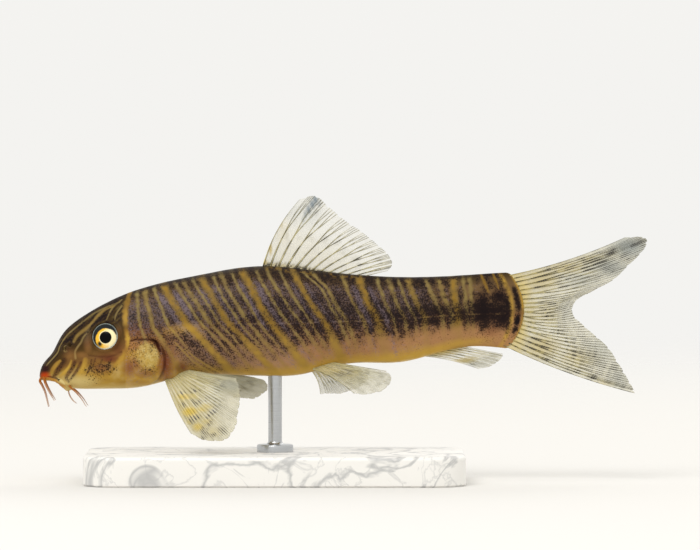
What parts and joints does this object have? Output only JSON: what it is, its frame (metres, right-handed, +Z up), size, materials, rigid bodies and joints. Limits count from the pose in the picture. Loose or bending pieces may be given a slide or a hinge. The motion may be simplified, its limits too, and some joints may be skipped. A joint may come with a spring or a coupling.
{
  "type": "zebra loach display model",
  "caption": "Life-size zebra loach in a swimming pose, with spread fins and barbels, held by one short rod on a flat marble base.",
  "frame": {"origin": "centre of the whole model's box, on the floor under the stand", "axes": "+Z up, head toward -X, the fish's left side toward -Y"},
  "size_m": [0.0802, 0.026, 0.0377],
  "materials": {
    "striped_skin": "painted resin, dark oblique bars on ochre, wet gloss",
    "fin_membrane": "thin clear resin with dark specks along the rays",
    "eye": "gold iris round a black pupil, polished",
    "barbel_skin": "orange-brown at the root, paler to the tip",
    "stand_marble": "honed white marble",
    "stand_steel": "satin"
  },
  "bodies": {
    "root": {"head": "striped_skin", "torso": "striped_skin", "tail_stalk": "striped_skin", "gill_cover_left": "striped_skin", "gill_cover_right": "striped_skin", "dorsal_fin": "fin_membrane", "anal_fin": "fin_membrane", "tail_fin": "fin_membrane", "pectoral_fin_left": "fin_membrane", "pectoral_fin_right": "fin_membrane", "pelvic_fin_left": "fin_membrane", "pelvic_fin_right": "fin_membrane", "eye_left": "eye", "eye_right": "eye", "snout_barbels_left": "barbel_skin", "snout_barbels_right": "barbel_skin", "corner_barbel_left": "barbel_skin", "corner_barbel_right": "barbel_skin", "chin_barbel_left": "barbel_skin", "chin_barbel_right": "barbel_skin", "stand_base": "stand_marble", "stand_rod": "stand_steel"}
  },
  "joints": []
}
